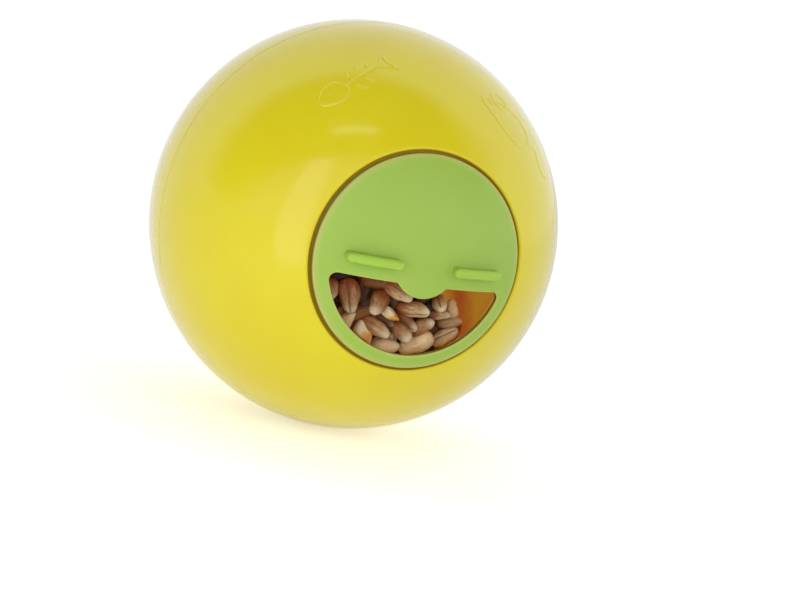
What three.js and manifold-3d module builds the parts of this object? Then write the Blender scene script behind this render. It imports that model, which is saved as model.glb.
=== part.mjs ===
// Treat dispensing ball: a hollow ball of two moulded halves with a round dial in its front.
// The dial and the fixed gate behind it each have a half-moon opening.
// Where the two line up, treats fall out. Turning the dial by half a turn shuts the ball.
// Millimetres, +Z up. The origin is the point where the ball touches the floor, and the dial faces -Y.

import * as THREE from 'three';
import { mergeVertices } from 'three/addons/utils/BufferGeometryUtils.js';
import Module from 'manifold-3d';

// The ball
const BALL_DIAMETER = 75;
const SHELL_WALL = 2.2;
const SEAM_FORWARD = 1.2; // the seam lies this far in front of the ball's middle
const SEAM_GAP = 0.3;
const LIP_WALL = 0.9;
const LIP_LENGTH = 3;
const LIP_CLEARANCE = 0.3;

// The round port and the dial in it
const DIAL_DIAMETER = 38.3;
const DIAL_WALL = 1.2;
const DIAL_PROUD = 0.1; // how far the dial's face stands out of the ball's round form
const DIAL_EDGE_ROUNDING = 0.45;
const PORT_CLEARANCE = 0.6;
const PORT_EDGE_ROUNDING = 0.35;
const PORT_COLLAR_WALL = 1.6;
const RUNNING_GAP = 0.35; // between the dial's back and the gate
const GATE_WALL = 1.3;

// The half-moon window, measured square to the dial's axis
const WINDOW_RIM = 2.55; // of the dial, left round the window
const WINDOW_TOP_BELOW_AXIS = 3.36;
const WINDOW_CORNER = 1.3;
const HUB_COVER_RADIUS = 5.65; // the round lobe of the dial that hangs into the window
const GATE_MARGIN = 0.9; // the gate's opening is larger than the window by this much all round

// The two grip ribs
const RIB_WIDTH = 1.7;
const RIB_HEIGHT = 2.3;
const RIB_ROUNDING = 0.7; // of the rib's top edges
const RIB_FOOT = 0.5; // how far the rib reaches down into the dial's wall
const RIB_START = 4.65; // from the dial's axis
const RIB_TO_EDGE = 4.35; // from the rib's outer end to the dial's edge

// The pivot, from the dial inwards
const PIVOT_WALL = 1.15; // of the dial's hub, round its screw hole
const PIVOT_CLEARANCE = 0.25;
const PAD_BORDER = 0.15; // from the gate's lobe to the flat pad on its back
const PAD_RISE = 0.55;
const AXIAL_GAP = 0.15;
const RING_THICKNESS = 0.8;
const RING_BORDER = 0.4; // from the pad's edge to the ring
const WASHER_THICKNESS = 0.8;
const WASHER_BORDER = 0.2; // from the pad's edge to the washer
const SCREW_RADIUS = 1.1;
const SCREW_CLEARANCE = 0.15;
const SCREW_HEAD_RADIUS = 2.3;
const SCREW_HEAD_HEIGHT = 1.5;
const SCREW_POINT_LENGTH = 0.8;
const SCREW_HOLE_FLOOR = 0.2; // above the dial's back
const RECESS_WIDTH = 0.6;
const RECESS_LENGTH = 2.6;
const RECESS_DEPTH = 0.9;

// How finely round forms are divided
const TURN_STEPS = 64;
const SMALL_TURN_STEPS = 32;
const ARC_STEP = THREE.MathUtils.degToRad(6.4);
const EDGE_STEPS = 3;
const WINDOW_STEPS = 24;
const RIB_STEPS = 5;

// What follows from the sizes above
const BALL_RADIUS = BALL_DIAMETER / 2;
const CAVITY_RADIUS = BALL_RADIUS - SHELL_WALL;
const DIAL_RADIUS = DIAL_DIAMETER / 2;
const DIAL_FACE = BALL_RADIUS + DIAL_PROUD; // radii of the domes, all about the ball's centre
const DIAL_BACK = DIAL_FACE - DIAL_WALL;
const GATE_FACE = DIAL_BACK - RUNNING_GAP;
const GATE_BACK = GATE_FACE - GATE_WALL;
const PORT_RADIUS = DIAL_RADIUS + PORT_CLEARANCE;
const COLLAR_RADIUS = PORT_RADIUS + PORT_COLLAR_WALL;
const WINDOW_RADIUS = DIAL_RADIUS - WINDOW_RIM;
const RIB_END = DIAL_RADIUS - RIB_TO_EDGE;
const HOLE_RADIUS = SCREW_RADIUS + SCREW_CLEARANCE;
const PIVOT_RADIUS = HOLE_RADIUS + PIVOT_WALL;
const BORE_RADIUS = PIVOT_RADIUS + PIVOT_CLEARANCE;
const PAD_RADIUS = HUB_COVER_RADIUS - GATE_MARGIN - PAD_BORDER;
const PAD_Y = -(GATE_BACK - PAD_RISE);
const RING_Y = PAD_Y + AXIAL_GAP;
const PIVOT_END_Y = RING_Y + RING_THICKNESS;
const WASHER_Y = PIVOT_END_Y + AXIAL_GAP;
const SCREW_HEAD_Y = WASHER_Y + WASHER_THICKNESS + AXIAL_GAP;
const HOLE_FLOOR_Y = -(DIAL_BACK - SCREW_HOLE_FLOOR);
const SCREW_TIP_Y = HOLE_FLOOR_Y + AXIAL_GAP;
const FRONT_SEAM_Y = -SEAM_FORWARD - SEAM_GAP / 2;
const REAR_SEAM_Y = -SEAM_FORWARD + SEAM_GAP / 2;
const LIP_END_Y = FRONT_SEAM_Y + LIP_LENGTH;
const REBATE_END_Y = LIP_END_Y + LIP_CLEARANCE;
const LIP_RADIUS = CAVITY_RADIUS + LIP_WALL;

const wasm = await Module();
wasm.setup();

// A closed geometry as a solid that can be joined and cut.
function solid(geometry) {
  const bare = geometry.clone();
  bare.deleteAttribute('normal');
  bare.deleteAttribute('uv');
  const merged = mergeVertices(bare, 1e-4);
  return new wasm.Manifold(
    new wasm.Mesh({
      numProp: 3,
      vertProperties: merged.attributes.position.array,
      triVerts: new Uint32Array(merged.index.array),
    }),
  );
}

// A solid as a geometry with flat faces.
function geometryOf(made) {
  const mesh = made.getMesh();
  const geometry = new THREE.BufferGeometry();
  geometry.setAttribute('position', new THREE.BufferAttribute(mesh.vertProperties, 3));
  geometry.setIndex(new THREE.BufferAttribute(mesh.triVerts, 1));
  const flat = geometry.toNonIndexed();
  flat.computeVertexNormals();
  return flat;
}

// The y of a dome of this radius about the ball's centre, at a distance from the dial's axis.
function domeY(radius, distance) {
  return -Math.sqrt(radius * radius - distance * distance);
}

// Profile points on a circle about (x, y). Angles run from the +X direction.
function arc(x, y, radius, start, end, steps) {
  return Array.from({ length: steps + 1 }, (_, i) => {
    const angle = start + ((end - start) * i) / steps;
    return new THREE.Vector2(x + radius * Math.cos(angle), y + radius * Math.sin(angle));
  });
}

// Profile points on a dome about the ball's centre, between two angles from the dial's axis.
function dome(radius, start, end) {
  const steps = Math.max(1, Math.ceil(Math.abs(end - start) / ARC_STEP));
  return arc(0, 0, radius, start - Math.PI / 2, end - Math.PI / 2, steps);
}

// The angle from the dial's axis of the point of a dome at a distance from that axis.
function angleAt(radius, distance) {
  return Math.asin(distance / radius);
}

// The angle from the dial's axis of the point of a dome at a height along it.
function angleAtY(radius, y) {
  return Math.acos(-y / radius);
}

// A profile of distance from the dial's axis against y, turned about that axis with its faces out.
function turned(profile, steps) {
  const area = THREE.ShapeUtils.area(profile);
  const ordered = area > 0 ? profile : [...profile].reverse();
  return solid(new THREE.LatheGeometry(ordered, steps));
}

// The profile of a ring closes on itself.
function closed(profile) {
  return [...profile, profile[0].clone()];
}

function point(distance, y) {
  return new THREE.Vector2(distance, y);
}

// The half-moon: a chord on top, round corners, and the hub's lobe hanging in from the chord.
function halfMoon(margin) {
  const radius = WINDOW_RADIUS + margin;
  const top = WINDOW_TOP_BELOW_AXIS - margin;
  const lobe = HUB_COVER_RADIUS - margin;
  const corner = WINDOW_CORNER + margin;
  const cornerY = -(top + corner);
  const cornerX = Math.sqrt((radius - corner) ** 2 - cornerY ** 2);
  const cornerAngle = Math.atan2(cornerY, cornerX);
  const lobeX = Math.sqrt(lobe ** 2 - top ** 2);
  const lobeAngle = Math.atan2(-top, lobeX);
  const shape = new THREE.Shape();
  shape.moveTo(lobeX, -top);
  shape.lineTo(cornerX, -top);
  shape.absarc(cornerX, cornerY, corner, Math.PI / 2, cornerAngle, true);
  shape.absarc(0, 0, radius, cornerAngle, -Math.PI - cornerAngle, true);
  shape.absarc(-cornerX, cornerY, corner, -Math.PI - cornerAngle, -1.5 * Math.PI, true);
  shape.lineTo(-lobeX, -top);
  shape.absarc(0, 0, lobe, -Math.PI - lobeAngle, lobeAngle, false);
  return shape;
}

// A bar with the half-moon's section that runs along the dial's axis through all domes.
function halfMoonCutter(margin) {
  const geometry = new THREE.ExtrudeGeometry(halfMoon(margin), {
    depth: BALL_RADIUS,
    curveSegments: WINDOW_STEPS,
    bevelEnabled: false,
  });
  geometry.rotateX(Math.PI / 2);
  geometry.translate(0, -BALL_RADIUS / 2, 0);
  return solid(geometry);
}

// Half of a rib's outline in plan, at a distance from its middle line, from its near tip to its far tip.
function ribSide(distance) {
  const near = RIB_START + RIB_WIDTH / 2;
  const far = RIB_END - RIB_WIDTH / 2;
  const straight = Array.from({ length: RIB_STEPS - 1 }, (_, i) => {
    return point(near + ((far - near) * (i + 1)) / RIB_STEPS, -distance);
  });
  return [
    ...arc(near, 0, distance, Math.PI, 1.5 * Math.PI, EDGE_STEPS),
    ...straight,
    ...arc(far, 0, distance, 1.5 * Math.PI, 2 * Math.PI, EDGE_STEPS),
  ];
}

// A bar with round ends and rounded top edges that stands on the dial's dome. Its walls run along the
// dial's axis. Each ring of points has its own distance from the middle line and height above the dome.
function gripRib(turn) {
  const half = RIB_WIDTH / 2;
  const flat = half - RIB_ROUNDING;
  const levels = [
    point(half, -RIB_FOOT),
    ...arc(flat, RIB_HEIGHT - RIB_ROUNDING, RIB_ROUNDING, 0, Math.PI / 2, EDGE_STEPS),
  ];
  const positions = levels.flatMap((level) => {
    const side = ribSide(level.x);
    const mirrored = side.slice(1, -1).reverse().map((p) => point(p.x, -p.y));
    return [...side, ...mirrored].flatMap((p) => [p.x, domeY(DIAL_FACE + level.y, p.length()), p.y]);
  });
  const ring = positions.length / 3 / levels.length;
  const faces = [];
  const addFace = (a, b, c, d) => faces.push(a, b, c, a, c, d);
  for (let level = 0; level < levels.length - 1; level += 1) {
    for (let i = 0; i < ring; i += 1) {
      const next = (i + 1) % ring;
      addFace(level * ring + i, level * ring + next, (level + 1) * ring + next, (level + 1) * ring + i);
    }
  }
  const top = ring * (levels.length - 1);
  for (let i = 0; i < ring / 2; i += 1) {
    const across = [i, i + 1, ring - i - 1, (ring - i) % ring];
    const cap = across.filter((corner, k) => corner !== across[(k + 1) % 4]);
    for (let k = 1; k < cap.length - 1; k += 1) {
      faces.push(top + cap[0], top + cap[k], top + cap[k + 1]);
      faces.push(cap[0], cap[k + 1], cap[k]);
    }
  }
  const geometry = new THREE.BufferGeometry();
  geometry.setAttribute('position', new THREE.Float32BufferAttribute(positions, 3));
  geometry.setIndex(faces);
  return solid(geometry.rotateY(turn));
}

function frontShell() {
  const edgeX = PORT_RADIUS + PORT_EDGE_ROUNDING;
  const edgeY = domeY(BALL_RADIUS - PORT_EDGE_ROUNDING, edgeX);
  const edgeAngle = Math.atan2(edgeY, edgeX);
  const gateProfile = [
    ...dome(GATE_FACE, angleAt(GATE_FACE, PORT_RADIUS), angleAt(GATE_FACE, BORE_RADIUS)),
    point(BORE_RADIUS, PAD_Y),
    point(PAD_RADIUS, PAD_Y),
    ...dome(GATE_BACK, angleAt(GATE_BACK, PAD_RADIUS), angleAt(GATE_BACK, COLLAR_RADIUS)),
  ];
  const profile = [
    ...dome(BALL_RADIUS, angleAtY(BALL_RADIUS, FRONT_SEAM_Y), edgeAngle + Math.PI / 2),
    ...arc(edgeX, edgeY, PORT_EDGE_ROUNDING, edgeAngle, -Math.PI, EDGE_STEPS).slice(1),
    ...gateProfile,
    ...dome(CAVITY_RADIUS, angleAt(CAVITY_RADIUS, COLLAR_RADIUS), angleAtY(CAVITY_RADIUS, FRONT_SEAM_Y)),
    point(CAVITY_RADIUS, LIP_END_Y),
    point(LIP_RADIUS, LIP_END_Y),
    point(LIP_RADIUS, FRONT_SEAM_Y),
  ];
  return turned(closed(profile), TURN_STEPS).subtract(halfMoonCutter(GATE_MARGIN));
}

function rearShell() {
  const rebateRadius = LIP_RADIUS + LIP_CLEARANCE;
  const profile = [
    ...dome(BALL_RADIUS, Math.PI, Math.PI / 2),
    ...dome(BALL_RADIUS, Math.PI / 2, angleAtY(BALL_RADIUS, REAR_SEAM_Y)).slice(1),
    point(rebateRadius, REAR_SEAM_Y),
    point(rebateRadius, REBATE_END_Y),
    ...dome(CAVITY_RADIUS, angleAtY(CAVITY_RADIUS, REBATE_END_Y), Math.PI),
  ];
  return turned(profile, TURN_STEPS);
}

function dial() {
  const edgeX = DIAL_RADIUS - DIAL_EDGE_ROUNDING;
  const edgeY = domeY(DIAL_FACE - DIAL_EDGE_ROUNDING, edgeX);
  const edgeAngle = Math.atan2(edgeY, edgeX);
  const profile = [
    ...dome(DIAL_FACE, 0, edgeAngle + Math.PI / 2),
    ...arc(edgeX, edgeY, DIAL_EDGE_ROUNDING, edgeAngle, 0, EDGE_STEPS).slice(1),
    ...dome(DIAL_BACK, angleAt(DIAL_BACK, DIAL_RADIUS), angleAt(DIAL_BACK, PIVOT_RADIUS)),
    point(PIVOT_RADIUS, PIVOT_END_Y),
    point(HOLE_RADIUS, PIVOT_END_Y),
    point(HOLE_RADIUS, HOLE_FLOOR_Y),
    point(0, HOLE_FLOOR_Y),
  ];
  return turned(profile, TURN_STEPS).subtract(halfMoonCutter(0)).add(gripRib(0)).add(gripRib(Math.PI));
}

// A flat ring whose front face lies at y = 0.
function flatRing(innerRadius, outerRadius, thickness) {
  const profile = [
    point(innerRadius, 0),
    point(outerRadius, 0),
    point(outerRadius, thickness),
    point(innerRadius, thickness),
  ];
  return turned(closed(profile), SMALL_TURN_STEPS);
}

// The underside of the screw's head lies at y = 0, and its point is towards -Y.
function pivotScrew() {
  const length = SCREW_HEAD_Y - SCREW_TIP_Y;
  const crown = SCREW_HEAD_HEIGHT / 2;
  const domeRadius = (SCREW_HEAD_RADIUS ** 2 + crown ** 2) / (2 * crown);
  const domeAngle = Math.asin(SCREW_HEAD_RADIUS / domeRadius);
  const domeCentre = SCREW_HEAD_HEIGHT - domeRadius;
  const profile = [
    point(0, -length),
    point(SCREW_RADIUS, -length + SCREW_POINT_LENGTH),
    point(SCREW_RADIUS, 0),
    point(SCREW_HEAD_RADIUS, 0),
    ...arc(0, domeCentre, domeRadius, Math.PI / 2 - domeAngle, Math.PI / 2, EDGE_STEPS),
  ];
  let screw = turned(profile, SMALL_TURN_STEPS);
  for (const turn of [0, Math.PI / 2]) {
    const slot = new THREE.BoxGeometry(RECESS_LENGTH, 2 * RECESS_DEPTH, RECESS_WIDTH);
    slot.rotateY(turn);
    slot.translate(0, SCREW_HEAD_HEIGHT, 0);
    screw = screw.subtract(solid(slot));
  }
  return screw;
}

const yellow = { color: 0xe2cf1c, roughness: 0.22, metalness: 0 };
const green = { color: 0x9fc353, roughness: 0.32, metalness: 0 };
const black = { color: 0x2b2b2b, roughness: 0.8, metalness: 0 };
const steel = { color: 0xb9bcc0, roughness: 0.35, metalness: 1 };

const ball = new THREE.Group();
ball.position.z = BALL_RADIUS;

function addPiece(name, made, look, y = 0) {
  const mesh = new THREE.Mesh(geometryOf(made), new THREE.MeshStandardMaterial(look));
  mesh.name = name;
  mesh.position.y = y;
  ball.add(mesh);
}

addPiece('front_shell', frontShell(), yellow);
addPiece('rear_shell', rearShell(), yellow);
addPiece('dial', dial(), green);
addPiece('friction_ring', flatRing(BORE_RADIUS, PAD_RADIUS - RING_BORDER, RING_THICKNESS), black, RING_Y);
addPiece('pivot_washer', flatRing(HOLE_RADIUS, PAD_RADIUS - WASHER_BORDER, WASHER_THICKNESS), steel, WASHER_Y);
addPiece('pivot_screw', pivotScrew(), steel, SCREW_HEAD_Y);

const treatBall = new THREE.Group();
treatBall.add(ball);

export default treatBall;
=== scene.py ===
# %% [markdown]
# A treat dispensing ball: a hollow ball of yellow plastic with a round green dial in its front.
# The construction comes as a fixed frame of six solids, and this lesson dresses them.
# The two halves of the ball and the dial get finer surfaces, worked out with numpy.
# The ring, the washer and the screw of the pivot keep their solids and only get a finish.

import bpy
import numpy as np
from mathutils import Matrix, Vector


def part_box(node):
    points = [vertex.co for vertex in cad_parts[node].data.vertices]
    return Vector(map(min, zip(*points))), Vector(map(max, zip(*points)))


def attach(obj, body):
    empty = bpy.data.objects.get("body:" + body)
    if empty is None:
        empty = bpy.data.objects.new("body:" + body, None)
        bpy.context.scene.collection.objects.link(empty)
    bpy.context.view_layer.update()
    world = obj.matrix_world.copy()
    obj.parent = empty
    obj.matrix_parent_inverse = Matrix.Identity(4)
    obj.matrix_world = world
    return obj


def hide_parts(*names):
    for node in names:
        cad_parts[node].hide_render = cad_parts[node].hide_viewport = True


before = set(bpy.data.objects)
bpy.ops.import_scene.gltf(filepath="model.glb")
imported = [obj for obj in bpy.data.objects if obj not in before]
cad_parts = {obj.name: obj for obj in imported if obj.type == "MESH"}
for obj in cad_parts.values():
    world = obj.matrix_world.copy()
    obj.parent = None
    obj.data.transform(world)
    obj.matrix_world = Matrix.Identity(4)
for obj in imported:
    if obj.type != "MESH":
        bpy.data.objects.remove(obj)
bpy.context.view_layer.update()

# %% [markdown]
# The main sizes are read from the frame, so the fine surfaces lie where the solids are.
# All shapes are worked out in millimetres about the middle of the ball.
# X is to the right, -Y is the way the dial faces, and Z is up.

# %% Sizes from the frame
MM = 0.001
shell_low, shell_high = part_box("rear_shell")
dial_low, dial_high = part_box("dial")
BALL_RADIUS = round((shell_high.x - shell_low.x) / 2 / MM, 3)
DIAL_RADIUS = round((dial_high.x - dial_low.x) / 2 / MM, 3)
MIDDLE = Vector((0, 0, (shell_low.z + shell_high.z) / 2))
print(f"ball {2 * BALL_RADIUS} mm across, dial {2 * DIAL_RADIUS} mm across")

# %% [markdown]
# The camera comes first. It stands to the left of the dial and a little above it.
# The ball had rolled a little about the dial's axis when it was photographed.
# The frame keeps the window level, so the camera is turned about the dial's axis instead.
# It then aims past the ball, until the ball's middle falls on its pixel of the photograph.

# %% Camera
PHOTO_WIDTH = 800
PHOTO_HEIGHT = 600
BALL_MIDDLE_PIXEL = (353.6, 224.0)
BALL_RADIUS_PIXELS = 204.74
CAMERA_DISTANCE = 600.0
CAMERA_AZIMUTH = np.radians(-19.8)
CAMERA_ELEVATION = np.radians(12.44)
CAMERA_TURN = np.radians(11.62)
SENSOR_WIDTH = 36.0
NEAREST_SEEN = 0.01


def about_dial_axis(v, angle):
    """Turns (x, y, z) about the Y axis: x' = x cos a - z sin a and z' = x sin a + z cos a."""
    x, y, z = v
    return Vector((x * np.cos(angle) - z * np.sin(angle), y, x * np.sin(angle) + z * np.cos(angle)))


def camera_axes():
    """The camera's right, up and back directions, for a camera that looks at the ball's middle."""
    a, e = CAMERA_AZIMUTH, CAMERA_ELEVATION
    right = Vector((np.cos(a), np.sin(a), 0))
    back = Vector((np.sin(a) * np.cos(e), -np.cos(a) * np.cos(e), np.sin(e)))
    up = back.cross(right)
    return [about_dial_axis(v, CAMERA_TURN) for v in (right, up, back)]


RIGHT, UP, BACK = camera_axes()
ball_distance = np.sqrt(CAMERA_DISTANCE**2 - BALL_RADIUS**2)
focal_pixels = BALL_RADIUS_PIXELS * ball_distance / BALL_RADIUS


def through_pixel(pixel):
    """The way through a pixel of the photograph, in the camera's own right, up and back."""
    return Vector((pixel[0] - PHOTO_WIDTH / 2, PHOTO_HEIGHT / 2 - pixel[1], -focal_pixels))


aim = through_pixel(BALL_MIDDLE_PIXEL).rotation_difference(Vector((0, 0, -1))).to_matrix()
VIEW = Matrix((RIGHT, UP, BACK)).transposed() @ aim
camera = bpy.data.objects.new("camera", bpy.data.cameras.new("camera"))
bpy.context.scene.collection.objects.link(camera)
camera.matrix_world = VIEW.to_4x4()
camera.location = MIDDLE + BACK * CAMERA_DISTANCE * MM
camera.data.sensor_width = SENSOR_WIDTH
camera.data.lens = focal_pixels * SENSOR_WIDTH / PHOTO_WIDTH
camera.data.clip_start = NEAREST_SEEN
bpy.context.scene.camera = camera
print(f"lens {camera.data.lens:.1f} mm at {CAMERA_DISTANCE:.0f} mm")

# %% [markdown]
# Some things are placed where the photograph shows them: the grains in the window, a stripe on
# the wall, and the lights that the ball mirrors. Their places are given as pixels. A pixel
# stands for a line of sight, and the line meets a ball about the middle in one near point.

# %% Lines of sight
def sight(pixel):
    """The direction of the camera's sight line through a pixel of the photograph."""
    return (VIEW @ through_pixel(pixel)).normalized()


def seen_at(pixel, radius):
    """Where the sight line through a pixel first meets a ball about the middle, in millimetres.

    On the line, the point nearest to the middle is a way from the camera, and the ball's
    surface is the root of radius squared less that point's own distance squared before it.
    """
    start, line = BACK * CAMERA_DISTANCE, sight(pixel)
    along = -start.dot(line)
    return start + line * (along - np.sqrt(along**2 - start.dot(start) + radius**2))


print("the dial's middle is seen", [round(v, 1) for v in seen_at((413.0, 258.0), BALL_RADIUS)])

# %% [markdown]
# Every new surface is a grid of points that follows two parameters, or a profile that is
# carried round the dial's axis. Three helpers make the mesh: one numbers the grid's faces,
# one joins points that fall together, as at a pole, and one turns the faces outwards.

# %% From grids to meshes
JOIN_WITHIN = 4  # decimals of a millimetre


def grid_faces(rows, columns, rows_close):
    """Corner numbers of a grid's four-sided faces.

    The columns always close: the last one is joined to the first. The rows close if asked to.
    """
    i = np.arange(rows - (not rows_close))[:, None]
    j = np.arange(columns)[None, :]
    below, right = (i + 1) % rows, (j + 1) % columns
    corners = [i * columns + j, below * columns + j, below * columns + right, i * columns + right]
    return np.stack(np.broadcast_arrays(*corners), -1).reshape(-1, 4)


def surface(grid, rows_close=False, marks=None):
    """A closed surface from a grid of points: (points, faces, marks), with its faces turned outwards."""
    rows, columns = grid.shape[:2]
    faces = grid_faces(rows, columns, rows_close)
    points = grid.reshape(-1, 3)
    _, first, number = np.unique(points.round(JOIN_WITHIN), axis=0, return_index=True, return_inverse=True)
    points, faces = points[first], number.ravel()[faces]
    corner = points[faces]
    side = np.cross(corner[:, 2] - corner[:, 0], corner[:, 3] - corner[:, 1])
    if (side * corner.mean(1)).sum() < 0:
        faces = faces[:, ::-1]
    marks = {} if marks is None else {name: values.reshape(-1)[first] for name, values in marks.items()}
    return points, faces, marks


def piece(name, surfaces, material, body, replaces=()):
    """One object made of several closed surfaces. Its place is in its mesh, in metres.

    At a pole two corners of a face are one point, so such a face is kept with its other three.
    """
    corners, count = [], 0
    for points, faces, _ in surfaces:
        whole = (faces != np.roll(faces, -1, axis=1)).all(1)
        corners += (faces[whole] + count).tolist()
        corners += [list(dict.fromkeys(f)) for f in (faces[~whole] + count).tolist()]
        count += len(points)
    points = np.concatenate([s[0] for s in surfaces]) * MM + np.array(MIDDLE)
    mesh = bpy.data.meshes.new(name)
    mesh.from_pydata(points.tolist(), [], [c for c in corners if len(c) > 2])
    for mark in sorted({mark for s in surfaces for mark in s[2]}):
        values = [s[2].get(mark, np.zeros(len(s[0]))) for s in surfaces]
        place = mesh.attributes.new(mark, "FLOAT", "POINT")
        place.data.foreach_set("value", np.concatenate(values).astype(np.float32))
    mesh.shade_smooth()
    mesh.materials.append(material)
    made = bpy.data.objects.new(name, mesh)
    bpy.context.scene.collection.objects.link(made)
    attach(made, body)
    if replaces:
        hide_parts(*replaces)
    print(f"{name}: {len(mesh.vertices)} points, {len(mesh.polygons)} faces")

# %% [markdown]
# The plastics are glossy, so most of what the eye reads as colour is a plain diffuse colour
# under a clear reflection. Each finish is one Principled shader. Small noise in its roughness
# and a bump of a few thousandths of a millimetre keep the reflections from looking computed.
# A class keeps the node work short: it adds nodes and joins them by the names of their sockets.
# The roughness that a finish starts with is the mean of what the noise then makes of it.

# %% Material helpers


def linear(red, green, blue):
    """A colour given in the 0 to 255 of a picture, as the linear light that a shader wants."""
    c = np.array([red, green, blue]) / 255
    return (*np.where(c <= 0.04045, c / 12.92, ((c + 0.055) / 1.055) ** 2.4), 1.0)


class Finish:
    """A material with one Principled shader, and short ways to add and join nodes."""

    def __init__(self, name, **sockets):
        self.material = bpy.data.materials.new(name)
        self.material.use_nodes = True
        self.tree = self.material.node_tree
        self.shader = self.tree.nodes["Principled BSDF"]
        for socket, value in sockets.items():
            self.shader.inputs[socket.replace("_", " ")].default_value = value
        self.place = self.add("ShaderNodeTexCoord").outputs["Object"]

    def add(self, kind, settings=None, **inputs):
        """A node with its settings, and its inputs either set to a value or joined to an output."""
        node = self.tree.nodes.new(kind)
        for name, value in (settings or {}).items():
            setattr(node, name, value)
        for name, value in inputs.items():
            key = int(name[1:]) if name[1:].isdigit() else name.replace("_", " ")
            self.join(value, node.inputs[key])
        return node

    def join(self, value, socket):
        """Joins an output to a socket, or sets the socket to a plain value."""
        if isinstance(value, bpy.types.NodeSocket):
            self.tree.links.new(value, socket)
        else:
            socket.default_value = value

    def math(self, operation, a, b=0.0, c=0.0):
        """One sum on two or three numbers, such as MULTIPLY_ADD for a times b plus c."""
        return self.add("ShaderNodeMath", {"operation": operation}, _0=a, _1=b, _2=c).outputs[0]

    def between(self, value, low, high):
        """Nought up to low, one from high on, and a soft climb between. It falls if high is lower."""
        node = self.add("ShaderNodeMapRange", {"interpolation_type": "SMOOTHSTEP"}, Value=value)
        node.inputs["From Min"].default_value = low
        node.inputs["From Max"].default_value = high
        return node.outputs["Result"]

    def part_along(self, way, place=None):
        """How far a place lies along a direction, in metres."""
        place = place or self.place
        node = self.add("ShaderNodeVectorMath", {"operation": "DOT_PRODUCT"}, _0=place, _1=way)
        return node.outputs["Value"]

    def noise(self, size, detail=2.0, place=None):
        """Soft random values from nought to one. Size is that of one blot, in millimetres."""
        place = place or self.place
        node = self.add("ShaderNodeTexNoise", Vector=place, Scale=1 / (size * MM), Detail=detail)
        return node.outputs["Fac"]

    def mark(self, name):
        """A number that was kept with each point of the mesh."""
        return self.add("ShaderNodeAttribute", {"attribute_name": name}).outputs["Fac"]

    def mix(self, share, a, b):
        """Colour a where the share is nought, colour b where it is one."""
        node = self.add("ShaderNodeMix", {"data_type": "RGBA"})
        self.join(share, node.inputs["Factor"])
        self.join(a, node.inputs[6])
        self.join(b, node.inputs[7])
        return node.outputs[2]

    def bump(self, height, depth):
        """Makes the surface look raised where height is one, by a depth in millimetres."""
        node = self.add("ShaderNodeBump", Height=height, Distance=depth * MM, Strength=1.0)
        self.tree.links.new(node.outputs["Normal"], self.shader.inputs["Normal"])

    def set(self, socket, value):
        self.join(value, self.shader.inputs[socket])

# %% [markdown]
# The ball is moulded in a see-through yellow, and thick enough to look solid from outside.
# Inside, light has crossed the wall several times, and the same plastic looks orange, with a
# redder stripe at the right of the window. The distance from the ball's middle tells outside
# from inside, so one material serves both halves. Real light that comes through the wall would
# need many bounces to compute, so a faint glow of its own stands in for it, inside and in the
# recess round the dial. Two clear layers of a low IOR, one over the other, reflect little where
# the ball faces the eye and much at its rim, as the photographed ball does.

# %% Yellow plastic
YELLOW = linear(229, 214, 30)
DEEP_YELLOW = linear(224, 196, 18)
RECESS_SHADE = linear(176, 146, 22)
ORANGE = linear(164, 128, 48)
RED_ORANGE = linear(136, 74, 30)
GLOW = linear(192, 140, 44)
RED_GLOW = linear(176, 84, 34)
GLOW_STRENGTH = 0.5
RECESS_GLOW = 0.12
CLEAR_IOR = 1.32
INSIDE_FROM = BALL_RADIUS - 1.6
INSIDE_TO = BALL_RADIUS - 2.0
CLOUD_SIZE = 14
CLOUD_SHARE = 0.25
STRIPE_PLACE = 20.4
STRIPE_WAVER = 3.4
STRIPE_NONE = 5.1
STRIPE_FULL = 1.36
STREAK_SIZE = 9


def yellow_plastic():
    """Outside and inside colours, told apart by the distance from the ball's middle.

    The stripe is red where the way to a plane across the camera's right, plus a waver of
    noise, is small. Both are fixed to the ball, so the stripe stays in place in every view.
    """
    finish = Finish("yellow_plastic", Roughness=0.16, IOR=CLEAR_IOR, Coat_Weight=1.0,
                    Coat_IOR=CLEAR_IOR, Coat_Roughness=0.12)
    from_middle = finish.add("ShaderNodeVectorMath", {"operation": "SUBTRACT"}, _0=finish.place, _1=MIDDLE)
    length = finish.add("ShaderNodeVectorMath", {"operation": "LENGTH"}, _0=from_middle.outputs[0])
    inside = finish.between(length.outputs["Value"], INSIDE_FROM * MM, INSIDE_TO * MM)
    clouds = finish.between(finish.noise(CLOUD_SIZE, 1.5), 0.35, 0.75)
    outer = finish.mix(finish.math("MULTIPLY", clouds, CLOUD_SHARE), YELLOW, DEEP_YELLOW)
    # Painted shade: the recess mark darkens the recess round the dial, and further down it adds a glow.
    outer = finish.mix(finish.mark("recess"), outer, RECESS_SHADE)
    across = finish.part_along(RIGHT, from_middle.outputs[0])
    off = finish.math("ABSOLUTE", finish.math("SUBTRACT", across, STRIPE_PLACE * MM))
    waver = finish.math("MULTIPLY_ADD", finish.noise(5, 2.5), STRIPE_WAVER * MM, off)
    stripe = finish.between(waver, STRIPE_NONE * MM, STRIPE_FULL * MM)
    streaks = finish.between(finish.noise(STREAK_SIZE, 2.5), 0.55, 0.95)
    reddened = finish.math("MAXIMUM", stripe, streaks)
    finish.set("Base Color", finish.mix(inside, outer, finish.mix(reddened, ORANGE, RED_ORANGE)))
    finish.set("Emission Color", finish.mix(reddened, GLOW, RED_GLOW))
    glow = finish.math("MULTIPLY", inside, GLOW_STRENGTH)
    glow = finish.math("MULTIPLY_ADD", finish.mark("recess"), RECESS_GLOW, glow)
    finish.set("Emission Strength", glow)
    finish.set("Roughness", finish.math("MULTIPLY_ADD", finish.noise(3), 0.05, 0.14))
    finish.bump(finish.noise(2.2, 1), 0.004)
    return finish.material


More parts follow.
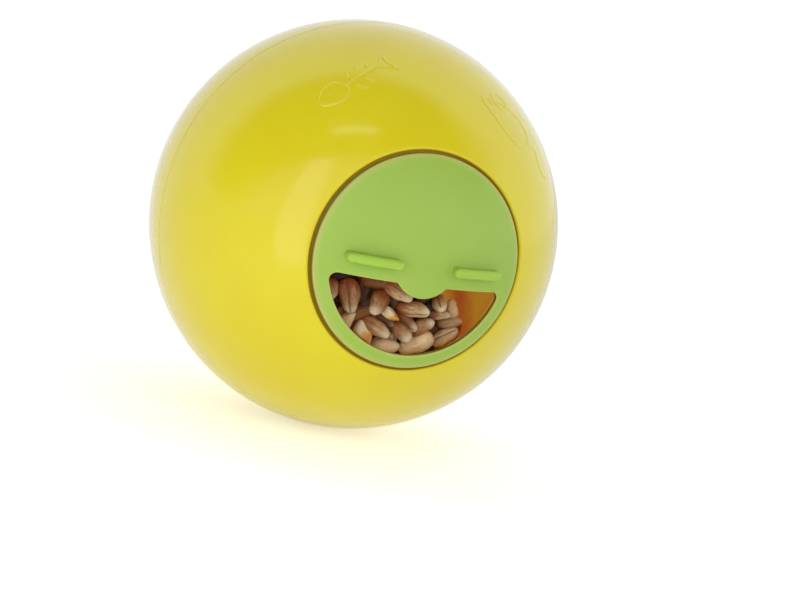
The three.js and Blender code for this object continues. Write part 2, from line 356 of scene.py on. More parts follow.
YELLOW_PLASTIC = yellow_plastic()
print("yellow plastic:", len(YELLOW_PLASTIC.node_tree.nodes), "nodes")

# %% [markdown]
# The dial is moulded in an opaque spring green with a satin face. Light and shade are painted
# into its colour: painted light pales its thin edges, as light through the thin plastic would,
# painted light gives the upper half of its raised ribs a lighter green, and painted shade darkens
# the walls that go down from its edges. Each point of the mesh keeps a number that says how much
# of an edge, a rib or a wall it is.

# %% Green plastic
GREEN = linear(155, 192, 70)
PALE_GREEN = linear(166, 198, 82)
# Painted light on the ribs and edges, and painted shade on the walls.
RIB_LIGHT_GREEN = linear(165, 205, 69)
EDGE_LIGHT_GREEN = linear(199, 196, 110)
WALL_SHADE_GREEN = linear(112, 112, 30)


def green_plastic():
    """A clouded face colour, then painted light, shade and pale light by the marks rib, wall and edge."""
    finish = Finish("green_plastic", Roughness=0.34, IOR=1.46)
    face = finish.mix(finish.noise(9, 2), GREEN, PALE_GREEN)
    face = finish.mix(finish.mark("rib"), face, RIB_LIGHT_GREEN)
    face = finish.mix(finish.mark("wall"), face, WALL_SHADE_GREEN)
    finish.set("Base Color", finish.mix(finish.mark("edge"), face, EDGE_LIGHT_GREEN))
    finish.set("Roughness", finish.math("MULTIPLY_ADD", finish.noise(1.4), 0.08, 0.3))
    finish.bump(finish.noise(0.35, 2), 0.003)
    return finish.material


GREEN_PLASTIC = green_plastic()
print("green plastic:", len(GREEN_PLASTIC.node_tree.nodes), "nodes")

# %% [markdown]
# The outline of the window is a half-moon: a level chord on top, a round lobe that hangs in
# from it and covers the hub, round corners, and a large arc about the dial's axis.
# It is walked at an even pace, and each point also gets the direction that leads away from
# the opening, because edges are rounded by moving along that direction.

# %% The half-moon outline
WINDOW_RADIUS = DIAL_RADIUS - 2.55
WINDOW_TOP = -3.36
WINDOW_CORNER = 1.3
LOBE_RADIUS = 5.65
LOBE_CORNER = 0.55
GATE_MARGIN = 0.9
OUTLINE_POINTS = 480


def half_moon(margin):
    """(points, directions) in plan, as x and z, along a half-moon widened by a margin.

    Stretches of line and arc follow each other. A point at a share s of a line is
    a + s (b - a), and on an arc it is the centre plus the radius times (cos t, sin t).
    """
    big, top, lobe = WINDOW_RADIUS + margin, WINDOW_TOP + margin, LOBE_RADIUS - margin
    corner, small = WINDOW_CORNER + margin, LOBE_CORNER
    corner_z = top - corner
    corner_x = np.sqrt((big - corner) ** 2 - corner_z**2)
    corner_turn = np.arctan2(corner_z, corner_x)
    small_z = top - small
    small_x = np.sqrt((lobe + small) ** 2 - small_z**2)
    small_turn = np.arctan2(small_z, small_x)
    half, whole = np.pi / 2, np.pi
    stretches = [
        ("line", (small_x, top), (corner_x, top)),
        ("arc", (corner_x, corner_z), corner, half, corner_turn, 1),
        ("arc", (0, 0), big, corner_turn, -whole - corner_turn, 1),
        ("arc", (-corner_x, corner_z), corner, -whole - corner_turn, -3 * half, 1),
        ("line", (-corner_x, top), (-small_x, top)),
        ("arc", (-small_x, small_z), small, half, -small_turn, 1),
        ("arc", (0, 0), lobe, -whole - small_turn, small_turn, -1),
        ("arc", (small_x, small_z), small, small_turn + whole, half, 1),
    ]
    lines = [s[0] == "line" for s in stretches]
    lengths = [np.hypot(*np.subtract(s[2], s[1])) if line else s[2] * abs(s[4] - s[3])
               for s, line in zip(stretches, lines)]
    ends = np.cumsum(lengths)
    walked = np.arange(OUTLINE_POINTS) * ends[-1] / OUTLINE_POINTS
    points, away = np.zeros((OUTLINE_POINTS, 2)), np.zeros((OUTLINE_POINTS, 2))
    for stretch, length, end in zip(stretches, lengths, ends):
        here = (walked >= end - length) & (walked < end)
        share = ((walked[here] - end + length) / length)[:, None]
        if stretch[0] == "line":
            points[here] = np.array(stretch[1]) + share * np.subtract(stretch[2], stretch[1])
            away[here] = (0, 1)
        else:
            _, centre, radius, start, stop, sense = stretch
            turn = start + share * (stop - start)
            direction = np.hstack([np.cos(turn), np.sin(turn)])
            points[here] = np.array(centre) + radius * direction
            away[here] = sense * direction
    return points, away


window, window_away = half_moon(0)
print(f"window {np.ptp(window[:, 0]):.1f} mm wide, {np.ptp(window[:, 1]):.1f} mm high")

# %% [markdown]
# The dial is a dome about the ball's middle, and it is made as one grid that closes both ways.
# One parameter walks along the window, and the other goes once round the section: over the
# window's rounded edge, across the face, round the rim, and back along the inside.
# Lines across the face fan out from a point in the window, so that none of them cross.

# %% Domes, rims and rounded edges
DIAL_FACE = BALL_RADIUS + 0.1
DIAL_BACK = DIAL_FACE - 1.2
DIAL_EDGE = 0.36
WINDOW_EDGE = 0.3
HIDDEN_EDGE = 0.15
EDGE_STEPS = 6
FAN_POINT = np.array([0.0, -11.5])


def plan(points, y):
    """Points given as x and z, set at y."""
    return np.stack([points[:, 0], np.broadcast_to(y, len(points)), points[:, 1]], -1)


def on_dome(points, radius):
    """Points given as x and z, set on the dome: y is minus the root of radius^2 - x^2 - z^2."""
    return plan(points, -np.sqrt(radius**2 - (points**2).sum(1)))


def unit(vectors):
    """Vectors divided by their lengths."""
    return vectors / np.linalg.norm(vectors, axis=-1, keepdims=True)


def turned_part_way(a, b, share):
    """Directions a share of the way from a to b, along the great circle between them."""
    angle = np.arccos(np.clip((a * b).sum(-1, keepdims=True), -1, 1))
    return (np.sin((1 - share) * angle) * a + np.sin(share * angle) * b) / np.sin(angle)


def rounded_edge(wall, into, dome_radius, rounding, front=True, steps=EDGE_STEPS):
    """Rows of points from a straight wall round onto a dome.

    Each row is the arc's centre plus the rounding times a direction that turns from the wall's
    normal to the dome's. The centre lies one rounding behind the wall and one behind the dome.
    """
    sign = 1 if front else -1
    centre = on_dome(wall + into * rounding, dome_radius - sign * rounding)
    shares = np.linspace(0, 1, steps + 1)
    return [centre + rounding * turned_part_way(plan(-into, 0), sign * unit(centre), s) for s in shares]


def across(start, stop, radius, steps):
    """Rows on a dome between two rows, straight in plan, and closer together near both ends."""
    shares = (1 - np.cos(np.linspace(0, np.pi, steps + 1)[1:-1])) / 2
    a, b = start[:, [0, 2]], stop[:, [0, 2]]
    return [on_dome(a + s * (b - a), radius) for s in shares]


def fanned(points, radius):
    """Where lines from the fan point through these points meet a circle about the dial's axis.

    With d a line's direction and f the fan point, the way to the circle is the positive root
    of |f + w d| = radius, which is w = sqrt((d.f)^2 - f.f + radius^2) - d.f.
    """
    d = unit(points - FAN_POINT)
    along = d @ FAN_POINT
    return FAN_POINT + d * (np.sqrt(along**2 - FAN_POINT @ FAN_POINT + radius**2) - along)[:, None]

# %% [markdown]
# The dial's finish has to know where an edge is, so every row of the grid carries marks. Edges
# are painted pale, as light that passes through the thin plastic there makes them, and the walls
# that go down from them get painted shade. On the photographed dial the face pales a little over
# its last millimetre too, and here that is painted light as well.

# %% The dial's disc
FACE_ROWS = 38
BACK_ROWS = 12
HIDDEN_STEPS = 3
RIM_TURN = 0.75 * np.pi
RIM_SHARE = 0.65
RIM_WIDTH = 1.05
WINDOW_WALL_POWER = 3
RIM_WALL_POWER = 8


def row_marks(columns, *parts):
    """One number for each point of a grid. Each part is how many rows it has, and their values."""
    rows = np.concatenate([np.broadcast_to(values, rows) for rows, values in parts])
    return np.repeat(rows[:, None], columns, axis=1)


def edge_values(rows, turn=np.pi):
    """The squared sine of an angle that grows over the rows: nought first, one at a quarter turn."""
    return np.sin(np.linspace(0, turn, rows)) ** 2


def dial_disc():
    """Rows over the window's edge, across the face, round the rim, and back along the inside."""
    rim = fanned(window, DIAL_RADIUS)
    to_axis = -unit(rim)
    window_front = rounded_edge(window, window_away, DIAL_FACE, WINDOW_EDGE)
    rim_front = rounded_edge(rim, to_axis, DIAL_FACE, DIAL_EDGE)[::-1]
    rim_back = rounded_edge(rim, to_axis, DIAL_BACK, HIDDEN_EDGE, front=False, steps=HIDDEN_STEPS)
    window_back = rounded_edge(window, window_away, DIAL_BACK, HIDDEN_EDGE, front=False,
                               steps=HIDDEN_STEPS)[::-1]
    face = across(window_front[-1], rim_front[0], DIAL_FACE, FACE_ROWS)
    back = across(rim_back[-1], window_back[0], DIAL_BACK, BACK_ROWS)
    grid = np.stack([*window_front, *face, *rim_front, *rim_back, *back, *window_back])
    columns, bend, flat = len(window), len(window_front), len(face)
    hidden = len(rim_back) + len(back) + len(window_back)
    # Painted light: the edge mark pales the window's edge, the rim and the face's last millimetre.
    rim_edge = edge_values(bend, RIM_TURN)
    edge = row_marks(columns, (bend, edge_values(bend)), (flat, 0), (bend, rim_edge), (hidden, 0))
    to_rim = DIAL_RADIUS - np.hypot(grid[..., 0], grid[..., 2])
    pale = row_marks(columns, (bend, 0), (flat + bend, RIM_SHARE), (hidden, 0))
    edge = np.maximum(edge, pale * np.clip(1 - to_rim / RIM_WIDTH, 0, 1))
    # Painted shade: the wall mark darkens the walls below the edges and the hidden back.
    window_wall = np.linspace(1, 0, bend) ** WINDOW_WALL_POWER
    rim_wall = np.linspace(0, 1, bend) ** RIM_WALL_POWER
    wall = row_marks(columns, (bend, window_wall), (flat, 0), (bend, rim_wall), (hidden, 1))
    return surface(grid, rows_close=True, marks={"edge": edge, "wall": wall})


disc = dial_disc()
print(f"the disc has {len(disc[0])} points")

# %% [markdown]
# A grip rib is a bar with round ends that follows the dome. Its points are rings at a growing
# distance from the bar's middle line, and a small profile says how high each ring stands.
# The profile runs from the dome up through a hollow fillet, up the side and over a round top.
# The rib's upper half gets painted light, a lighter green, and its whole side wall a little painted shade.
# The hub is the pin that the dial turns on. It is turned like a part from a lathe.

# %% The grip ribs and the hub
RIB_WIDTH = 1.7
RIB_HEIGHT = 2.25
RIB_START = 4.8
RIB_END = DIAL_RADIUS - 4.6
RIB_FILLET = 0.25
RIB_ROUNDING = 0.6
RIB_WALL_SHADE = 0.2
RIB_WALL_FROM = 0.05
RIB_WALL_TO = 1.05
RIB_LIGHT_FROM = 0.4
RIB_LIGHT_CLIMB = 0.4
RIB_SUNK = 0.4
RIB_FOOT = 0.03
RIB_STEPS = 24
RIB_TIP_STEPS = 10
FILLET_STEPS = 5
ROUNDING_STEPS = 7
HUB_RADIUS = 2.4
HUB_HOLE = 1.25
HUB_TOP = DIAL_BACK + 0.4
HUB_END = 33.25
HUB_FLOOR = DIAL_BACK - 0.2
HUB_POINTS = 64


def arc_points(x, y, radius, start, stop, steps):
    """Points on a circle about (x, y): x plus radius cos t and y plus radius sin t."""
    t = np.linspace(start, stop, steps + 1)
    return np.stack([x + radius * np.cos(t), y + radius * np.sin(t)], -1)


def rib_profile():
    """Distance from the rib's middle line, and height above the dome, from the hidden base to the top."""
    half = RIB_WIDTH / 2
    fillet = arc_points(half + RIB_FILLET, RIB_FILLET, RIB_FILLET, 1.5 * np.pi, np.pi, FILLET_STEPS)
    top = arc_points(half - RIB_ROUNDING, RIB_HEIGHT - RIB_ROUNDING, RIB_ROUNDING, 0, np.pi / 2,
                     ROUNDING_STEPS)
    base = [[0, -RIB_SUNK], [half + RIB_FILLET, -RIB_SUNK], [half + RIB_FILLET, -RIB_FOOT]]
    return np.vstack([base, fillet, top, [[0, RIB_HEIGHT]]])


def rib_side(distance):
    """Half of the outline in plan at a distance from the middle line, from the near tip to the far tip.

    A quarter turn about the line's near end, the straight side, and a quarter turn about its far end.
    """
    near, far = RIB_START + RIB_WIDTH / 2, RIB_END - RIB_WIDTH / 2
    start = arc_points(near, 0, distance, np.pi, 1.5 * np.pi, RIB_TIP_STEPS)
    straight = near + (far - near) * np.linspace(0, 1, RIB_STEPS + 1)[1:-1]
    stop = arc_points(far, 0, distance, 1.5 * np.pi, 2 * np.pi, RIB_TIP_STEPS)
    return np.vstack([start, np.stack([straight, np.full(RIB_STEPS - 1, -distance)], -1), stop])


def grip_rib(side):
    """Rings of points, each at one distance from the middle line and one height above the dome.

    Side is 1 for the rib to the right of the hub and -1 for the one to the left, which is the
    same outline turned by half a turn.
    """
    rows, heights = [], []
    for distance, height in rib_profile():
        lower = rib_side(distance)
        upper = lower[-2:0:-1] * (1, -1)
        rows.append(on_dome(np.vstack([lower, upper]) * side, DIAL_FACE + height))
        heights.append(height)
    up_the_wall = np.array(heights) / (RIB_HEIGHT - RIB_ROUNDING)
    # Painted light on the rib's upper half, and painted shade on its side wall.
    rib_light = np.clip((up_the_wall - RIB_LIGHT_FROM) / RIB_LIGHT_CLIMB, 0, 1)
    on_wall = (up_the_wall > RIB_WALL_FROM) & (up_the_wall < RIB_WALL_TO)
    rib = row_marks(len(rows[0]), (len(rows), rib_light))
    wall = row_marks(len(rows[0]), (len(rows), RIB_WALL_SHADE * on_wall))
    return surface(np.stack(rows), marks={"rib": rib, "wall": wall})


def turned(profile, steps):
    """A profile of distance and y carried round the dial's axis: x = d cos t and z = d sin t."""
    t = np.linspace(0, 2 * np.pi, steps, endpoint=False)
    profile = np.asarray(profile, float)
    x, z = np.outer(profile[:, 0], np.cos(t)), np.outer(profile[:, 0], np.sin(t))
    return np.stack([x, np.repeat(profile[:, 1:], steps, axis=1), z], -1)


def hub():
    """A pin with a blind hole for the screw, from inside the disc to behind the gate."""
    profile = [(0, -HUB_TOP), (HUB_RADIUS, -HUB_TOP), (HUB_RADIUS, -HUB_END), (HUB_HOLE, -HUB_END)]
    profile += [(HUB_HOLE, -HUB_FLOOR), (0, -HUB_FLOOR)]
    return surface(turned(profile, HUB_POINTS))


piece("dial_moulding", [disc, grip_rib(-1), grip_rib(1), hub()], GREEN_PLASTIC,
      "dial", replaces=["dial"])

# %% [markdown]
# The front half is one closed grid too. Its section starts at the gate's opening, runs over
# the recess behind the dial, up the port's wall and over its rounded lip, and follows the ball
# to the seam. From there it goes down the lip that the rear half snaps over, back along the
# cavity, and over the collar to the gate's inside.

# %% The front half
SHELL_WALL = 2.2
CAVITY_RADIUS = BALL_RADIUS - SHELL_WALL
GATE_FACE = DIAL_BACK - 0.35
GATE_BACK = GATE_FACE - 1.3
GATE_EDGE = 0.2
PORT_RADIUS = DIAL_RADIUS + 0.5
PORT_EDGE = 0.4
COLLAR_RADIUS = PORT_RADIUS + 1.7
SEAM_Y = -1.2
SEAM_GAP = 0.06
SEAM_EDGE = 0.14
LIP_RADIUS = CAVITY_RADIUS + 0.9
LIP_END = 1.65
FLOOR_CORNER = 0.06
GATE_STEPS = 4
FLOOR_ROWS = 14
OUTSIDE_ROWS = 52
INSIDE_ROWS = 22
LIP_POWER = 6


def seam_edge(side):
    """Profile points round the edge where the ball meets the seam. Side is -1 in front, 1 behind."""
    y = SEAM_Y + side * (SEAM_GAP / 2 + SEAM_EDGE)
    distance = np.sqrt((BALL_RADIUS - SEAM_EDGE) ** 2 - y**2)
    return arc_points(distance, y, SEAM_EDGE, np.arctan2(y, distance), -side * np.pi / 2, EDGE_STEPS)


def sphere_rows(radius, start, stop, steps, plan_turn):
    """Rows on a ball: (sin a cos t, -cos a, sin a sin t) times the radius, a from the dial's axis."""
    shares = (1 - np.cos(np.linspace(0, np.pi, steps + 1))) / 2
    angles = start + shares * (stop - start)
    return [plan(plan_turn * radius * np.sin(a), -radius * np.cos(a)) for a in angles]


def front_half():
    """Rows from the gate's opening over the recess, the lip, the ball, the lap and the cavity.

    The recess mark lays painted shade and a painted glow. It is one in the recess and fades over
    the lip. It also fades from the dial's rim to the window's, so the gate keeps the ball's yellow
    when it closes the window.
    """
    opening, away = half_moon(GATE_MARGIN)
    port = fanned(opening, PORT_RADIUS)
    out = unit(port)
    gate_front = rounded_edge(opening, away, GATE_FACE, GATE_EDGE, steps=GATE_STEPS)
    floor_end = on_dome(out * (PORT_RADIUS - FLOOR_CORNER), GATE_FACE)
    floor = across(gate_front[-1], floor_end, GATE_FACE, FLOOR_ROWS)
    floor += [floor_end, on_dome(port, GATE_FACE + FLOOR_CORNER)]
    lip = rounded_edge(port, out, BALL_RADIUS, PORT_EDGE)
    edge = seam_edge(-1)
    start = np.arccos(-lip[-1][0, 1] / BALL_RADIUS)
    stop = np.arccos(-edge[0, 1] / BALL_RADIUS)
    outside = sphere_rows(BALL_RADIUS, start, stop, OUTSIDE_ROWS, out)[1:-1]
    face_y = SEAM_Y - SEAM_GAP / 2
    lap = [*edge, (LIP_RADIUS, face_y), (LIP_RADIUS, LIP_END), (CAVITY_RADIUS, LIP_END)]
    lap = [plan(out * distance, y) for distance, y in lap]
    collar = np.arcsin(COLLAR_RADIUS / CAVITY_RADIUS)
    inside = sphere_rows(CAVITY_RADIUS, np.arccos(-face_y / CAVITY_RADIUS), collar, INSIDE_ROWS, out)
    collar_end = on_dome(out * COLLAR_RADIUS, GATE_BACK)
    gate_back = rounded_edge(opening, away, GATE_BACK, GATE_EDGE, front=False, steps=GATE_STEPS)[::-1]
    back = [collar_end, *across(collar_end, gate_back[0], GATE_BACK, FLOOR_ROWS)]
    grid = np.stack([*gate_front, *floor, *lip, *outside, *lap, *inside, *back, *gate_back])
    lip_values = np.linspace(1, 0, len(lip)) ** LIP_POWER
    plain = len(outside) + len(lap) + len(inside) + len(back)
    parts = [(len(gate_front) + len(floor), 1), (len(lip), lip_values), (plain, 0), (len(gate_back), 1)]
    beyond_window = np.hypot(grid[..., 0], grid[..., 2]) - WINDOW_RADIUS
    outermost = np.clip(beyond_window / (DIAL_RADIUS - WINDOW_RADIUS - DIAL_EDGE), 0, 1)
    return surface(grid, rows_close=True, marks={"recess": row_marks(len(out), *parts) * outermost})


piece("front_moulding", [front_half()], YELLOW_PLASTIC, "shell",
      replaces=["front_shell"])

# %% [markdown]
# The rear half has no opening, so a profile carried round the dial's axis is enough. A fine
# one is used, because its plain curve is what the large soft reflections run over.

# %% The rear half
REBATE_RADIUS = LIP_RADIUS + 0.3
REBATE_END = LIP_END + 0.3
TURN_POINTS = 320
REAR_ROWS = 90
CAVITY_ROWS = 48


def rear_half():
    """The ball's rear, the edge at the seam, the step that takes the front's lip, and the cavity."""
    edge = seam_edge(1)
    around = np.linspace(np.pi, np.arccos(-edge[0, 1] / BALL_RADIUS), REAR_ROWS)[:-1]
    outside = np.stack([BALL_RADIUS * np.sin(around), -BALL_RADIUS * np.cos(around)], -1)
    face_y = SEAM_Y + SEAM_GAP / 2
    lap = [(REBATE_RADIUS, face_y), (REBATE_RADIUS, REBATE_END)]
    back = np.linspace(np.arccos(-REBATE_END / CAVITY_RADIUS), np.pi, CAVITY_ROWS)
    inside = np.stack([CAVITY_RADIUS * np.sin(back), -CAVITY_RADIUS * np.cos(back)], -1)
    outside[0, 0] = inside[-1, 0] = 0
    return surface(turned(np.vstack([outside, edge, lap, inside]), TURN_POINTS))


piece("rear_moulding", [rear_half()], YELLOW_PLASTIC, "shell",
      replaces=["rear_shell"])

# %% [markdown]
# Three parts of the pivot keep their solids: a rubber ring that brakes the dial, a washer and
# a screw. They sit behind the dial, where hardly anyone looks, and still get a finish each.
# Rubber is dull and a little mottled. The steel is brushed, so its roughness runs in fine lines.

# %% Rubber and steel
BRUSH_LINES = (1, 1, 30)


def rubber():
    """Dull and mottled, with a fine rough face."""
    finish = Finish("black_rubber", Roughness=0.7, IOR=1.5)
    finish.set("Base Color", finish.mix(finish.noise(1.5, 3), linear(34, 34, 36), linear(52, 51, 52)))
    finish.set("Roughness", finish.math("MULTIPLY_ADD", finish.noise(0.6), 0.2, 0.6))
    finish.bump(finish.noise(0.2, 2), 0.02)
    return finish.material


def steel():
    """Noise that is squeezed along z, so that its blots become level brush lines."""
    finish = Finish("brushed_steel", Metallic=1.0, Roughness=0.3)
    squeezed = finish.add("ShaderNodeMapping", Vector=finish.place, Scale=BRUSH_LINES)
    brushed = finish.noise(2, 2, place=squeezed.outputs[0])
    finish.set("Base Color", finish.mix(brushed, linear(186, 188, 192), linear(212, 212, 210)))
    finish.set("Roughness", finish.math("MULTIPLY_ADD", brushed, 0.2, 0.2))
    finish.bump(brushed, 0.004)
    return finish.material


RUBBER, STEEL = rubber(), steel()
for name, material in (("friction_ring", RUBBER), ("pivot_washer", STEEL), ("pivot_screw", STEEL)):
    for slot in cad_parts[name].material_slots:
        slot.material = material
    print(name, "gets", material.name)

# %% [markdown]
# Toys of this kind often carry plain little figures, moulded a fraction of a millimetre proud.
# These two are a bare fishbone and a mouse in outline, each drawn here from arcs and lines.
# A figure is drawn flat, in millimetres, and then laid on the ball. A line of it becomes a low
# bead: rounded above, sunk into the wall below, and tapered to nothing at its ends.

# %% Beads on the ball
BEAD_HEIGHT = 0.15
BEAD_WIDTH = 0.9
BEAD_SUNK = 0.3
BEAD_FOOT = 0.03
BEAD_STEP = 0.35
BEAD_COLUMNS = 9
CAP_ROWS = 5
TINY = 1e-9  # keeps a division by nought away


def on_ball(flat, height, place):
    """Lays flat points on the ball, at heights above it.

    Place is the polar angle from the dial's axis, the angle round it, and the figure's turn.
    A point at a distance d from the figure's middle goes d / R round the ball its own way.
    """
    polar, around, turn = np.radians(place)
    sine, cosine = np.sin(polar), np.cos(polar)
    centre = np.array([sine * np.cos(around), -cosine, sine * np.sin(around)])
    outwards = np.array([cosine * np.cos(around), sine, cosine * np.sin(around)])
    round_axis = np.array([-np.sin(around), 0, np.cos(around)])
    first = np.cos(turn) * round_axis + np.sin(turn) * outwards
    second = np.cos(turn) * outwards - np.sin(turn) * round_axis
    distance = np.maximum(np.linalg.norm(flat, axis=-1, keepdims=True), TINY)
    way = (flat[..., :1] * first + flat[..., 1:] * second) / distance
    angle = distance / BALL_RADIUS
    return (BALL_RADIUS + height[..., None]) * (np.cos(angle) * centre + np.sin(angle) * way)


def even_steps(points, step):
    """The same line with its points an even step apart, and how far along it each one is."""
    walked = np.concatenate([[0], np.cumsum(np.linalg.norm(np.diff(points, axis=0), axis=1))])
    places = np.linspace(0, walked[-1], max(3, int(walked[-1] / step) + 1))
    return np.stack([np.interp(places, walked, points[:, k]) for k in (0, 1)], -1), places


def bead(line, place, closed=False):
    """A bead along a flat line. Its height across is H cos^2(pi u / 2), with u from -1 to 1.

    At an open end, width and height shrink as a circle does: by the root of 1 - (1 - d / w)^2,
    with d the way to the end and w half of the width.
    """
    points, walked = even_steps(np.asarray(line, float), BEAD_STEP)
    if closed:
        points, walked = points[:-1], walked[:-1]
        along = np.roll(points, -1, axis=0) - np.roll(points, 1, axis=0)
        shrink = np.ones(len(points))
    else:
        ends = BEAD_WIDTH / 2 * (1 - np.cos(np.linspace(0, np.pi / 2, CAP_ROWS + 1)))
        places = np.concatenate([ends, walked[(walked > ends[-1]) & (walked < walked[-1] - ends[-1])],
                                 walked[-1] - ends[::-1]])
        points = np.stack([np.interp(places, walked, points[:, k]) for k in (0, 1)], -1)
        along = np.gradient(points, axis=0)
        to_end = np.clip(np.minimum(places, places[-1] - places) / (BEAD_WIDTH / 2), 0, 1)
        shrink = np.sqrt(np.clip(1 - (1 - to_end) ** 2, 0, 1))
    sideways = unit(along)[:, ::-1] * (1, -1)
    u = np.concatenate([np.linspace(-1, 1, BEAD_COLUMNS), [1, -1]])
    top = np.concatenate([BEAD_HEIGHT * np.cos(np.pi / 2 * u[:-2]) ** 2, [0, 0]])
    sunk = np.concatenate([np.full(BEAD_COLUMNS, BEAD_FOOT), [BEAD_SUNK, BEAD_SUNK]])
    flat = points[:, None] + (shrink[:, None] * u * BEAD_WIDTH / 2)[..., None] * sideways[:, None]
    return surface(on_ball(flat, shrink[:, None] * top - sunk, place), rows_close=closed)


def loop(x, y, wide, high, narrowing=0.0, steps=72):
    """A closed egg: x + wide cos t, y + high sin t (1 - narrowing cos t)."""
    t = np.linspace(0, 2 * np.pi, steps + 1)
    return np.stack([x + wide * np.cos(t), y + high * np.sin(t) * (1 - narrowing * np.cos(t))], -1)

# %% [markdown]
# A place on the ball is an angle from the dial's axis and one round it, and the third number
# turns the figure there. The outlines are eggs and short straight lines, so each figure is a
# few beads that cross or touch.

# %% The fishbone and the mouse
FISHBONE_PLACE = (57.0, 114.5, -18.0)
MOUSE_PLACE = (54.5, 57.0, 4.0)
FISH_BONES = ((0.9, 2.3), (-1.3, 2.0), (-3.5, 1.6))
SPINE_GAP = 0.75
BONE_LEAN = 0.45
EYE_STEPS = 24
TAIL_START = -5.9
TAIL_LENGTH = 7.5
TAIL_WAVE = 1.1
TAIL_POINTS = 40


def fishbone():
    """A head with an eye, a spine, three pairs of bones that lean back, and a forked tail."""
    parts = [bead(loop(5.2, 0, 2.9, 2.1, 0.4), FISHBONE_PLACE, closed=True)]
    parts.append(bead(loop(5.4, 0.5, 0.32, 0.32, steps=EYE_STEPS), FISHBONE_PLACE, closed=True))
    parts.append(bead([(2.0, 0), (-5.6, 0)], FISHBONE_PLACE))
    for x, length in FISH_BONES:
        for side in (-1, 1):
            start = (x, side * SPINE_GAP)
            stop = (x - BONE_LEAN * length, side * (SPINE_GAP + length))
            parts.append(bead([start, stop], FISHBONE_PLACE))
    tail = [(-5.4, 0), (-8.2, 2.4), (-7.5, 0), (-8.2, -2.4), (-5.4, 0)]
    parts.append(bead(tail, FISHBONE_PLACE, closed=True))
    return parts


def mouse():
    """A body that narrows to the nose, a round ear, an eye, and a tail that waves as a sine."""
    parts = [bead(loop(0.4, 0, 6.2, 3.3, 0.45), MOUSE_PLACE, closed=True)]
    parts.append(bead(loop(2.9, 3.0, 1.9, 1.7), MOUSE_PLACE, closed=True))
    parts.append(bead(loop(4.6, 0.5, 0.35, 0.35, steps=EYE_STEPS), MOUSE_PLACE, closed=True))
    x = np.linspace(0, TAIL_LENGTH, TAIL_POINTS)
    wave = TAIL_WAVE * np.sin(x / TAIL_LENGTH * 2 * np.pi)
    parts.append(bead(np.stack([TAIL_START - x, wave], -1), MOUSE_PLACE))
    return parts


piece("fishbone_figure", fishbone(), YELLOW_PLASTIC, "shell")
piece("mouse_figure", mouse(), YELLOW_PLASTIC, "shell")

# %% [markdown]
# The ball is in use, so grain shows through the window. Each grain of wheat is a closed egg
# with a fatter germ end, a flatter belly and a crease along it. Its points remember where on
# the grain they are, so one finish can redden the germ end, bleach the other end and draw
# the fine lines and the dark crease along every grain, whichever way it lies.

# %% One grain of wheat
CREASE_DEPTH = 0.3
CREASE_WIDTH = 0.32
GRAIN_THICKNESS = 0.86
END_FULLNESS = 0.84
GERM_SWELLING = 0.15
CREASE_SIDE = 0.88
BACK_SIDE = 1.08
UNEVEN = 0.05
RIDGES = 0.35
RIPPLES = 0.3
BOW = 0.08


def wheat_grain(length, width, tone, rows=22, columns=26):
    """A grain about the origin, its length along x and its crease on top.

    Along it, x is -L/2 cos s. Its half width there is (sin s)^0.84 (1 + 0.15 cos s), times
    W/2. Round it, y is that times cos t and z is that times sin t, less a bell about t = 90.
    Slow waves, shallow ridges and ripples make it uneven, and its ends bow up a little. They
    start where its own length and tone say, so a grain stays as it is when others are moved.
    """
    s = np.linspace(0, np.pi, rows)[:, None]
    t = np.linspace(0, 2 * np.pi, columns, endpoint=False)[None, :]
    around = np.sin(s) ** END_FULLNESS * (1 + GERM_SWELLING * np.cos(s))
    bell = np.exp(-(((t - np.pi / 2) / CREASE_WIDTH) ** 2))
    belly = np.where(np.sin(t) > 0, CREASE_SIDE, BACK_SIDE)
    along, side = -np.cos(s) + 0 * t, around * np.cos(t)
    top = around * np.sin(t) * belly * (1 - CREASE_DEPTH * bell)
    own = np.random.default_rng(int(length * 1000 + tone * 100)).uniform(0, 2 * np.pi, 3)
    uneven = np.sin(3 * along + own[0]) * np.cos(2 * t + own[1]) + np.sin(5 * along + own[2] + t)
    uneven = uneven + RIDGES * np.sin(5 * t + 2 * along + own[1])
    uneven = uneven + RIPPLES * np.sin(9 * along + 2 * t + own[0])
    side, top = side * (1 + UNEVEN * uneven), top * (1 + UNEVEN * uneven) - BOW * (1 - along**2)
    half = np.array([length, width, width * GRAIN_THICKNESS]) / 2
    marks = {"along": along, "side": side, "top": top, "tone": np.full(along.shape, tone)}
    return surface(np.stack([along, side, top], -1) * half, marks=marks)


def laid(grain, middle, lengthwise, belly):
    """Turns a grain so that its germ-to-brush line and its crease face these ways, and moves it."""
    points, faces, marks = grain
    x = unit(np.asarray(lengthwise, float))
    z = unit(np.asarray(belly, float) - np.dot(belly, x) * x)
    return points @ np.stack([x, np.cross(z, x), z]) + np.asarray(middle), faces, marks

# %% [markdown]
# Wheat has a thin papery skin, tan to red-brown, with fine lines along it, a reddish germ end and
# a bleached brush end. Its crease is painted dark, as painted shade. Noise that is stretched along
# the grain draws the lines. A grain's tone says how brown it is, and a tone above one adds painted
# shade that darkens the whole grain.

# %% The grain's skin
TAN = linear(240, 204, 153)
BROWN = linear(144, 94, 42)
GERM = linear(142, 70, 26)
BRUSH = linear(226, 208, 172)
DEEP_SHADE = linear(46, 31, 23)
CREASE_SHADE = linear(96, 56, 30)
STREAK = linear(112, 72, 38)
STREAK_SHARE = 0.65
CREASE_SHARE = 0.65
BRUSH_SHARE = 0.75
LINES_ALONG = 0.9
LINES_ROUND = 2.6
OWN_SHIFT = 40.0


